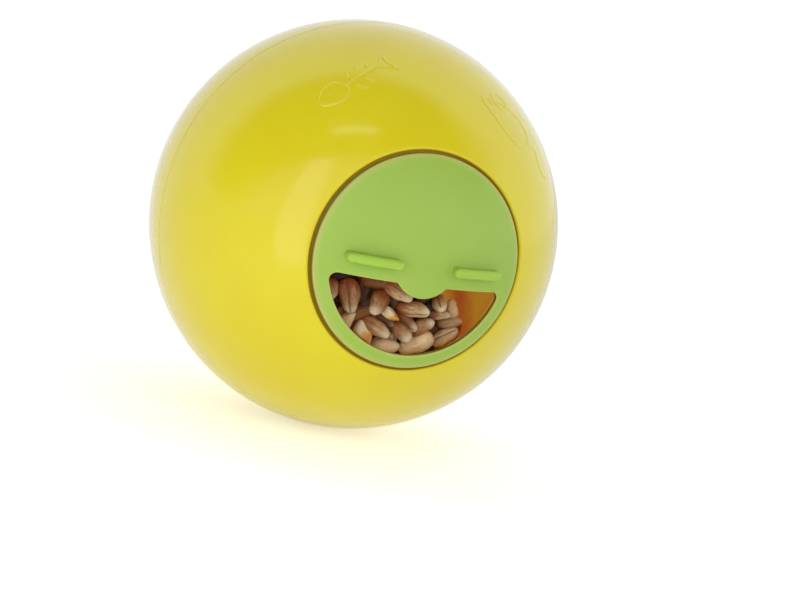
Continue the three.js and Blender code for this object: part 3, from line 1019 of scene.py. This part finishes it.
def grain_skin():
    """Skin, streaks, germ end, brush end and crease shade, each laid over the one before by its share."""
    finish = Finish("wheat_skin", Roughness=0.5, IOR=1.45)
    along, side, top, tone = (finish.mark(name) for name in ("along", "side", "top", "tone"))
    own = finish.math("MULTIPLY", tone, OWN_SHIFT)
    place = finish.add("ShaderNodeCombineXYZ", X=finish.math("MULTIPLY_ADD", along, LINES_ALONG, own),
                       Y=finish.math("MULTIPLY", side, LINES_ROUND),
                       Z=finish.math("MULTIPLY", top, LINES_ROUND)).outputs[0]
    lines = finish.add("ShaderNodeTexNoise", Vector=place, Scale=2.2, Detail=3.0).outputs["Fac"]
    blots = finish.add("ShaderNodeTexNoise", Vector=place, Scale=0.7, Detail=2.0).outputs["Fac"]
    dark = finish.between(finish.math("MULTIPLY_ADD", blots, 0.5, tone), 0.2, 1.1)
    skin = finish.mix(dark, TAN, BROWN)
    streaked = finish.math("MULTIPLY", finish.between(lines, 0.48, 0.66), finish.between(tone, -0.2, 0.6))
    skin = finish.mix(finish.math("MULTIPLY", streaked, STREAK_SHARE), skin, STREAK)
    germ = finish.between(finish.math("MULTIPLY_ADD", along, -1.0, blots), 0.2, 1.35)
    skin = finish.mix(finish.math("MULTIPLY", germ, finish.between(tone, 0.05, 0.5)), skin, GERM)
    brush = finish.between(finish.math("MULTIPLY_ADD", lines, 0.5, along), 0.6, 1.2)
    skin = finish.mix(finish.math("MULTIPLY", brush, BRUSH_SHARE), skin, BRUSH)
    # Painted shade: the crease is painted darker.
    in_crease = finish.math("MULTIPLY", finish.between(finish.math("ABSOLUTE", side), 0.16, 0.02),
                            finish.between(top, 0.1, 0.4))
    skin = finish.mix(finish.math("MULTIPLY", in_crease, CREASE_SHARE), skin, CREASE_SHADE)
    # Painted shade: a tone above one darkens the whole grain towards a near black brown.
    finish.set("Base Color", finish.mix(finish.between(tone, 1.0, 2.0), skin, DEEP_SHADE))
    finish.set("Roughness", finish.math("MULTIPLY_ADD", lines, 0.25, 0.38))
    finish.bump(lines, 0.25)
    return finish.material


WHEAT = grain_skin()
print("wheat skin:", len(WHEAT.node_tree.nodes), "nodes")

# %% [markdown]
# The grains that the window shows are laid one by one, each on the sight line through its place
# in the photograph and just behind the gate. Lengths and widths are real ones, 3.6 to 6.7 mm by
# 2.2 to 3.9 mm. The germ end of each points the other way from the tilt that is given for it.
# The last rows lie deeper, most of them painted darker as shade, and fill the gaps between the others.

# %% Grains in the window
# name, pixel, distance from the ball's middle, length, width, tilt, lean to the camera, roll, tone
# A tone above one is painted shade.
WINDOW_GRAINS = [
    ("tall_left", (349.2, 295.3), 32.3, 6.3, 3.9, -84, -12, 10, 0.6),
    ("edge_left", (331.6, 288.5), 32.2, 3.9, 2.6, -95, 10, 120, 0.55),
    ("centre_red", (378.7, 302.4), 32.5, 5.2, 3.2, -117, 25, 160, 0.75),
    ("under_hub", (398.0, 291.5), 32.2, 5.9, 3.0, -34, 8, 150, 0.4),
    ("centre_right", (413.0, 310.2), 32.8, 6.0, 3.3, -10, 5, 60, 0.45),
    ("dark_slanted", (404.8, 320.4), 31.6, 5.6, 2.7, -42, 10, 40, 1.2),
    ("end_on", (439.5, 303.2), 31.6, 5.6, 2.8, -70, 66, 0, 0.2),
    ("pale_upright", (452.0, 308.4), 30.6, 3.6, 2.2, 95, 15, 170, 0.0),
    ("small_level", (438.6, 315.9), 31.4, 4.3, 2.3, 0, 0, 90, 0.38),
    ("small_far", (449.6, 322.6), 30.8, 4.6, 2.3, 8, 0, 200, 0.28),
    ("middle_right", (421.0, 327.0), 32.3, 5.2, 2.9, 23, 10, 140, 0.6),
    ("big_peach", (415.8, 343.4), 33.0, 6.7, 3.5, -160, 0, 170, 0.08),
    ("creased_right", (444.6, 336.4), 32.3, 5.4, 2.7, 27, 5, -20, 0.1),
    ("middle_down", (400.8, 331.4), 32.6, 5.2, 3.2, -50, 25, 150, 0.65),
    ("left_slanted", (374.4, 327.6), 32.6, 6.1, 3.3, -33, 10, 130, 0.5),
    ("behind_slanted", (383.0, 320.5), 30.9, 5.0, 2.7, -30, 0, 60, 1.5),
    ("edge_pale", (347.6, 321.5), 32.2, 4.6, 2.9, 55, 20, 90, 0.2),
    ("bottom_pale", (385.2, 345.8), 33.0, 5.2, 2.8, -3, 0, 190, 0.0),
    ("left_behind", (361.6, 312.6), 30.6, 5.6, 3.2, 20, 0, 100, 0.95),
    ("dark_top", (364.0, 285.5), 30.0, 6.0, 3.2, 70, 0, 30, 1.7),
    ("top_behind", (375.5, 280.5), 30.4, 5.8, 2.8, -8, 0, 200, 1.3),
    ("hub_behind", (425.0, 297.0), 29.6, 6.0, 3.1, 30, 0, 80, 1.7),
    ("low_left", (357.5, 331.5), 31.6, 5.0, 2.6, -60, 0, 30, 0.8),
    ("low_middle", (392.5, 334.5), 30.8, 4.8, 2.2, 80, 0, 60, 0.1),
    ("corner_top", (344.0, 274.5), 30.4, 6.2, 3.2, 8, 0, 90, 2.0),
    ("hub_gap", (431.5, 307.0), 29.6, 5.4, 3.2, 35, 0, 100, 1.8),
    ("top_gap", (357.0, 276.5), 29.2, 6.4, 3.4, -10, 0, 60, 1.9),
    ("red_gap", (367.5, 300.5), 29.2, 6.0, 3.6, 50, 0, 140, 1.7),
]


def sides_of(pixel, tilt, lean, roll):
    """Directions for a grain seen at a pixel: its length, tilted in the picture and leaning to the
    camera, and its crease, which a roll of nought points at the camera."""
    tilt, lean, roll = np.radians((tilt, lean, roll))
    towards = -np.array(sight(pixel))
    in_picture = np.cos(tilt) * np.array(RIGHT) + np.sin(tilt) * np.array(UP)
    level = unit(in_picture - (in_picture @ towards) * towards)
    lengthwise = np.cos(lean) * level + np.sin(lean) * towards
    facing = np.cos(lean) * towards - np.sin(lean) * level
    return lengthwise, np.cos(roll) * facing + np.sin(roll) * np.cross(lengthwise, facing)


grains = []
for _, pixel, radius, length, width, tilt, lean, roll, tone in WINDOW_GRAINS:
    lengthwise, belly = sides_of(pixel, tilt, lean, roll)
    middle = np.array(seen_at(pixel, radius))
    grains.append((middle, lengthwise, belly, length, width, tone))
window_count = len(grains)
print(f"{window_count} grains laid by hand")

# %% [markdown]
# Feed mixes hold some crushed maize too: hard, cream and yellow, with flat broken faces. A chip
# is a grid like a grain, but its sines and cosines are raised to a small power, which squares
# it off, and each end is cut back at a slant.

# %% Chips of maize
CREAM = linear(228, 206, 162)
MAIZE_YELLOW = linear(218, 158, 62)
MAIZE_RED = linear(198, 104, 46)
SQUARENESS = 0.42
SLANT_BY_SIDE = 0.35
SLANT_BY_TOP = 0.25
SIDE_TAPER = 0.25
TOP_TAPER = 0.2
CHIP_THICKNESS = 0.8
MAIZE_CHIPS = [
    ("chip_middle", (389.0, 313.6), 32.6, 3.0, 1.8, -49, 10, 20, 0.2),
    ("chip_left", (363.4, 332.4), 33.4, 3.7, 2.4, -52, 5, 170, 0.6),
    ("chip_bottom", (378.0, 343.0), 32.2, 3.0, 2.0, 20, 0, 60, 0.4),
]


def maize_chip(length, width, tone, rows=20, columns=24):
    """A squared egg: a sine or cosine c becomes c |c|^(q - 1), with q the squareness.

    Its ends are then slanted by how far a point is to the side and on top, and its sides taper.
    """
    s = np.linspace(0, np.pi, rows)[:, None]
    t = np.linspace(0, 2 * np.pi, columns, endpoint=False)[None, :]

    def squared(c):
        return c * np.maximum(np.abs(c), TINY) ** (SQUARENESS - 1)

    side, top = squared(np.sin(s)) * squared(np.cos(t)), squared(np.sin(s)) * squared(np.sin(t))
    along = -squared(np.cos(s)) + SLANT_BY_SIDE * side - SLANT_BY_TOP * top
    side, top = side * (1 - SIDE_TAPER * along), top * (1 + TOP_TAPER * side)
    marks = {"along": along, "side": side, "top": top, "tone": np.full(along.shape, tone)}
    half = np.array([length, width, width * CHIP_THICKNESS]) / 2
    return surface(np.stack([along, side, top], -1) * half, marks=marks)


def maize():
    """Cream flesh that turns yellow along the chip, and red at the far end of the reddest."""
    finish = Finish("cracked_maize", Roughness=0.45, IOR=1.5)
    along, tone = finish.mark("along"), finish.mark("tone")
    blots = finish.noise(1.6, 2)
    yellow = finish.between(finish.math("ADD", finish.math("MULTIPLY", along, 0.5), blots), 0.5, 0.85)
    flesh = finish.mix(yellow, CREAM, MAIZE_YELLOW)
    red = finish.math("MULTIPLY", finish.between(finish.math("ADD", along, blots), 0.9, 1.4), tone)
    finish.set("Base Color", finish.mix(red, flesh, MAIZE_RED))
    finish.bump(finish.noise(0.5, 3), 0.08)
    return finish.material


MAIZE = maize()
chips = []
for _, pixel, radius, length, width, tilt, lean, roll, tone in MAIZE_CHIPS:
    lengthwise, belly = sides_of(pixel, tilt, lean, roll)
    middle = np.array(seen_at(pixel, radius))
    chips.append(laid(maize_chip(length, width, tone), middle, lengthwise, belly))
piece("maize_chips", chips, MAIZE, "shell")

# %% [markdown]
# Behind those the heap goes on. Grains are set on a loose lattice under the heap's top, turned
# any way but lying along the wall where they touch it, and then settled: every grain counts as
# two balls, and balls that overlap push their grains apart a little in each of some rounds.
# They are hardly seen, so they have few faces. Those just behind the laid grains are the
# darkest, because they lie in their shade, and a strip of wall that the photograph shows at
# the right of the window is kept free of grain.

# %% The heap
HEAP_SEED = 11
HEAP_HIGH = -3.6
HEAP_CURVE = 0.0115
HEAP_CURVE_FROM = -12.0
HEAP_FALL = 0.12
HEAP_FRONT = -30.0
HEAP_SKIN = 9.0
FILLED_FRONT = -17.0
FILLED_DOWN_TO = -24.0
LATTICE = 4.3
LATTICE_HALF = 34
SHAKE = 1.2
FRONT_LIMIT = 30.6
WALL_LIMIT = CAVITY_RADIUS - 2.0
LIMIT_CLIMB = 8.0
BEHIND_GATE = -26.0
SETTLING_ROUNDS = 30
PUSH_SHARE = 0.3
BALL_PLACES = np.array([-0.22, 0.22])
LEAST_APART = 1e-6
LEVELLED = (1, 1, 0.6)
LYING_FROM = 24.0
LYING_CLIMB = 5.0
SHADE_START = 20.0
SHADE_DEPTH = 5.0
BARE_WALL = (469.0, 323.0)
BARE_WIDTH = 3.6
HEAP_GRID = 8


def heap_top(x, y):
    """Level at the left, falling with the square of the way to the right, and evenly to the back."""
    to_right = np.maximum(x - HEAP_CURVE_FROM, 0)
    return HEAP_HIGH - HEAP_CURVE * to_right**2 - HEAP_FALL * (y - HEAP_FRONT)


def reach(y, front=FRONT_LIMIT, wall=WALL_LIMIT, climb=LIMIT_CLIMB):
    """How far from the ball's middle things may lie: less behind the gate than along the wall."""
    return front + (wall - front) * np.clip((y - BEHIND_GATE) / climb, 0, 1)


def lattice(random):
    """Shaken lattice points in the ball, under the heap's top and in its skin or near the gate."""
    steps = np.arange(-LATTICE_HALF, LATTICE_HALF, LATTICE)
    points = np.stack(np.meshgrid(steps, steps, steps, indexing="ij"), -1).reshape(-1, 3)
    points = points + random.uniform(-SHAKE, SHAKE, points.shape)
    below = heap_top(points[:, 0], points[:, 1]) - points[:, 2]
    front = (points[:, 1] < FILLED_FRONT) & (points[:, 2] > FILLED_DOWN_TO)
    inside = np.linalg.norm(points, axis=1) < reach(points[:, 1])
    return points[inside & (below > 0) & ((below < HEAP_SKIN) | front)]


def off_sight(points, pixel):
    """How far points lie from the sight line through a pixel."""
    away = points - np.array(BACK) * CAMERA_DISTANCE
    line = np.array(sight(pixel))
    return np.linalg.norm(away - np.outer(away @ line, line), axis=1)


def settled(middles, lengthwise, lengths, widths, still):
    """Pushes grains out of each other. The first ones, as many as still says, keep their places.

    Two balls that overlap part along the line between their middles, each by a share of the
    overlap. Then the limits of the cavity and of the heap's top are put back in force.
    """
    own = np.repeat(np.arange(len(middles)), len(BALL_PLACES))
    radii = np.repeat(widths / 2, len(BALL_PLACES)).astype(np.float32)
    others = own[:, None] != own[None]
    for _ in range(SETTLING_ROUNDS):
        balls = middles[:, None] + (BALL_PLACES * lengths[:, None])[..., None] * lengthwise[:, None]
        balls = balls.reshape(-1, 3).astype(np.float32)
        apart = balls[:, None] - balls[None]
        distance = np.sqrt((apart**2).sum(-1)) + LEAST_APART
        overlap = np.maximum(radii[:, None] + radii[None] - distance, 0) * others
        push = (apart * (overlap / distance)[..., None]).sum(1).reshape(-1, len(BALL_PLACES), 3).sum(1)
        push[:still] = 0
        middles = middles + PUSH_SHARE * push
        far = np.linalg.norm(middles[still:], axis=1)
        middles[still:] *= np.minimum(1, reach(middles[still:, 1]) / far)[:, None]
        middles[still:, 2] = np.minimum(middles[still:, 2], heap_top(middles[still:, 0], middles[still:, 1]))
    return middles


random = np.random.default_rng(HEAP_SEED)
filling = lattice(random)
count = len(filling)
turns = unit(random.normal(size=(count, 3)) * LEVELLED)
outwards = unit(filling)
at_wall = np.clip((np.linalg.norm(filling, axis=1) - LYING_FROM) / LYING_CLIMB, 0, 1)[:, None]
turns = unit(turns - at_wall * (turns * outwards).sum(1, keepdims=True) * outwards)
middles = np.vstack([[g[0] for g in grains], filling])
lengthwise = np.vstack([[g[1] for g in grains], turns])
lengths = np.concatenate([[g[3] for g in grains], random.uniform(5.8, 6.8, count)])
widths = np.concatenate([[g[4] for g in grains], random.uniform(3.0, 3.7, count)])
middles = settled(middles, lengthwise, lengths, widths, window_count)
tones = random.uniform(0.2, 1.0, count)
tones += np.clip((-middles[window_count:, 1] - SHADE_START) / SHADE_DEPTH, 0, 1)
bellies = random.normal(size=(count, 3))
bare = off_sight(middles, BARE_WALL)
heap = []
for k in range(count):
    at = window_count + k
    if bare[at] > BARE_WIDTH:
        grain = wheat_grain(lengths[at], widths[at], tones[k], rows=HEAP_GRID, columns=HEAP_GRID)
        heap.append(laid(grain, middles[at], lengthwise[at], bellies[k]))
whole = [laid(wheat_grain(length, width, tone), middle, way, belly)
         for middle, way, belly, length, width, tone in grains]
piece("wheat_in_window", whole, WHEAT, "shell")
piece("wheat_heap", heap, WHEAT, "shell")
print(f"{len(heap)} grains in the heap")

# %% [markdown]
# Under its skin of grains the heap is empty, and the eye could look in between them. A closed
# dark body, painted shade, fills it. From a point in the heap it reaches out in every direction to
# the heap's skin or the ball's wall, as far as all that lies between belongs to the heap.

# %% The heap's dark inside
CORE_MIDDLE = np.array([-8.0, -2.0, -25.0])
CORE_BELOW = 5.0
CORE_FRONT = 27.0
CORE_WALL = CAVITY_RADIUS - 0.3
CORE_CLIMB = 12.0
CORE_ROWS = 40
CORE_COLUMNS = 64
CORE_TRIES = np.linspace(0.5, 60, 240)


def heap_core():
    """From the core's middle, each direction goes on while it is under the skin and in the ball."""
    polar = np.linspace(0, np.pi, CORE_ROWS)[:, None]
    around = np.linspace(0, 2 * np.pi, CORE_COLUMNS, endpoint=False)[None, :]
    ways = np.stack([np.sin(polar) * np.cos(around), np.sin(polar) * np.sin(around),
                     np.cos(polar) + 0 * around], -1)
    points = CORE_MIDDLE + ways[..., None, :] * CORE_TRIES[:, None]
    x, y, z = points[..., 0], points[..., 1], points[..., 2]
    limit = reach(y, CORE_FRONT, CORE_WALL, CORE_CLIMB)
    within = (z < heap_top(x, y) - CORE_BELOW) & (np.linalg.norm(points, axis=-1) < limit)
    last = CORE_TRIES[np.maximum(np.cumprod(within, axis=-1).sum(-1) - 1, 0)]
    return surface(CORE_MIDDLE + ways * last[..., None])


def grain_shadow():
    """A dull dark brown of painted shade, lumpy as grain is."""
    finish = Finish("grain_shadow", Roughness=0.9)
    finish.set("Base Color", finish.mix(finish.noise(3, 3), linear(58, 36, 24), linear(96, 62, 40)))
    finish.bump(finish.noise(2.5, 2), 0.8)
    return finish.material


piece("wheat_core", [heap_core()], grain_shadow(), "shell")

# %% [markdown]
# The studio is a light tent: white all round, with a dark gap high up on the camera's side. On
# a glossy ball the tent shows as the pale rim, and the gap as the deeper band above the dial.
# The gap is an oval whose edge fades, so the band has no hard line. Behind the ball the tent is
# dimmer, which keeps the rim from burning out, and to the right it is a little brighter. The
# world paints all this by direction. Seen straight from the camera the tent is always white,
# because the photograph has a white ground: the Light Path node tells that look from the light
# that falls on the ball. Only the studio reads that node, and no finish of the ball does.

# %% Tent
TENT_LIGHT = 1.18
GROUND_LIGHT = 1.16
BACK_SHARE = 0.76
BACK_FULL = 0.7
RIGHT_SHARE = 0.06
GAP_LIGHT = 0.15
GAP_CENTRE = np.radians(64)
GAP_SHIFT = -0.06
GAP_HALF_WIDTH = 1.05
GAP_HALF_HEIGHT = 0.48
GAP_FADE = (0.75, 1.15)
FAR_SIDE_FADE = (-0.25, 0.35)


def tent():
    """The tent's light from each direction.

    A direction's place in the gap's oval is the root of two squares added: its part along the
    camera's right over the half width, and its part along the oval's height over the half
    height. One is the oval's edge. The tent's far side has such an oval too, and one is added
    to its places there, which all but closes it.
    """
    world = bpy.data.worlds.new("tent")
    bpy.context.scene.world = world
    world.use_nodes = True
    nodes, links = world.node_tree.nodes, world.node_tree.links
    direction = nodes.new("ShaderNodeTexCoord").outputs["Generated"]

    def math(operation, *values, kind="ShaderNodeMath"):
        node = nodes.new(kind)
        node.operation = operation
        for socket, value in zip(node.inputs, values):
            if isinstance(value, bpy.types.NodeSocket):
                links.new(value, socket)
            else:
                socket.default_value = value
        return node.outputs["Value"]

    def part_along(way):
        return math("DOT_PRODUCT", direction, way, kind="ShaderNodeVectorMath")

    def square_of_share(value, whole):
        return math("POWER", math("DIVIDE", value, whole), 2.0)

    def fade(value, places, levels):
        """The first level up to the first place, the second beyond the second, soft between."""
        node = nodes.new("ShaderNodeMapRange")
        node.interpolation_type = "SMOOTHSTEP"
        links.new(value, node.inputs["Value"])
        for socket, number in zip(("From Min", "From Max", "To Min", "To Max"), (*places, *levels)):
            node.inputs[socket].default_value = number
        return node.outputs["Result"]

    centre = BACK * np.cos(GAP_CENTRE) + UP * np.sin(GAP_CENTRE)
    over = UP * np.cos(GAP_CENTRE) - BACK * np.sin(GAP_CENTRE)
    wide = square_of_share(math("SUBTRACT", part_along(RIGHT), GAP_SHIFT), GAP_HALF_WIDTH)
    high = square_of_share(part_along(over), GAP_HALF_HEIGHT)
    far_side = fade(part_along(centre), FAR_SIDE_FADE, (1.0, 0.0))
    out = math("ADD", math("SQRT", math("ADD", wide, high)), far_side)
    strength = fade(out, GAP_FADE, (GAP_LIGHT, TENT_LIGHT))
    back = fade(part_along(-BACK), (0.0, BACK_FULL), (1.0, BACK_SHARE))
    sides = math("MULTIPLY_ADD", part_along(RIGHT), RIGHT_SHARE, 1.0)
    strength = math("MULTIPLY", math("MULTIPLY", strength, back), sides)
    seen_straight = nodes.new("ShaderNodeLightPath").outputs["Is Camera Ray"]
    strength = math("MAXIMUM", strength, math("MULTIPLY", seen_straight, GROUND_LIGHT))
    links.new(strength, nodes["Background"].inputs["Strength"])
    nodes["Background"].inputs["Color"].default_value = (1, 1, 1, 1)
    print("tent:", len(nodes), "nodes")


tent()

# %% [markdown]
# Two soft panels stand before the tent, and the ball mirrors them: a tall one as the bright
# bent shape at the left of the dial, and a far, wide one as the line of light near the top.
# Their corners are given by the pixels at which the ball shows them. A sight line is mirrored
# where it meets the ball, and the corner lies on it at the panel's distance.

# %% Panels
TALL_CORNERS = [(310, 160), (336, 158), (306, 240), (305, 272), (275, 268), (277, 222)]
TALL_AWAY = 110
TALL_LIGHT = 2.3
TOP_CORNERS = [(333, 127), (378, 127), (378, 134), (333, 134)]
TOP_AWAY = 500
TOP_LIGHT = 2.2


def mirrored(pixel, distance):
    """The point, so far from the ball, that the ball shows at a pixel.

    The sight line d meets the ball where its outward normal is n, and goes on along
    d - 2 (d . n) n.
    """
    point, line = seen_at(pixel, BALL_RADIUS), sight(pixel)
    normal = point.normalized()
    return point + (line - 2 * line.dot(normal) * normal) * distance


def panel(name, pixels, distance, strength):
    """A soft light panel whose reflection on the ball has its corners at these pixels."""
    corners = [MIDDLE + mirrored(p, distance) * MM for p in pixels]
    mesh = bpy.data.meshes.new(name)
    mesh.from_pydata([tuple(c) for c in corners], [], [tuple(range(len(corners)))])
    material = bpy.data.materials.new(name)
    material.use_nodes = True
    shader = material.node_tree.nodes["Principled BSDF"]
    shader.inputs["Base Color"].default_value = (0, 0, 0, 1)
    shader.inputs["Emission Color"].default_value = (1, 1, 1, 1)
    shader.inputs["Emission Strength"].default_value = strength
    mesh.materials.append(material)
    made = bpy.data.objects.new(name, mesh)
    bpy.context.scene.collection.objects.link(made)
    made.visible_camera = False
    print(f"{name}: {len(corners)} corners, {distance} mm away")


panel("tall_panel", TALL_CORNERS, TALL_AWAY, TALL_LIGHT)
panel("top_panel", TOP_CORNERS, TOP_AWAY, TOP_LIGHT)

# %% [markdown]
# The ball rests on a large pale floor that closes the tent below. The floor glows a little, as
# cloth with light behind it does. It looks white to the camera, and sends less light up to
# the ball than that, less still to the right of it, where the photographed ball is darker
# below. The view transform is the plain one, so that white stays white.

# %% Floor
FLOOR_HALF = 4.0
FLOOR_COLOUR = (0.9, 0.9, 0.9, 1)
FLOOR_SEEN = 0.46
FLOOR_LIGHT = 0.24
FLOOR_DIMMING = -0.15
FLOOR_DIM_FROM = 5.0
FLOOR_DIM_TO = 40.0


def floor_cloth():
    """One glow for the camera, and another for the ball that falls from left to right."""
    finish = Finish("pale_floor", Roughness=0.9, Base_Color=FLOOR_COLOUR, Emission_Color=(1, 1, 1, 1))
    dimmed = finish.between(finish.part_along(RIGHT), FLOOR_DIM_FROM * MM, FLOOR_DIM_TO * MM)
    light = finish.math("MULTIPLY_ADD", dimmed, FLOOR_DIMMING, FLOOR_LIGHT)
    seen_straight = finish.add("ShaderNodeLightPath").outputs["Is Camera Ray"]
    more = finish.math("SUBTRACT", FLOOR_SEEN, light)
    finish.set("Emission Strength", finish.math("MULTIPLY_ADD", seen_straight, more, light))
    return finish.material


floor_corners = [(-1, -1), (1, -1), (1, 1), (-1, 1)]
floor_mesh = bpy.data.meshes.new("floor")
floor_mesh.from_pydata([(x * FLOOR_HALF, y * FLOOR_HALF, 0.0) for x, y in floor_corners], [],
                       [tuple(range(len(floor_corners)))])
floor_mesh.materials.append(floor_cloth())
floor = bpy.data.objects.new("floor", floor_mesh)
bpy.context.scene.collection.objects.link(floor)
bpy.context.scene.view_settings.view_transform = "Standard"
print(f"floor: {2 * FLOOR_HALF:.0f} m across")
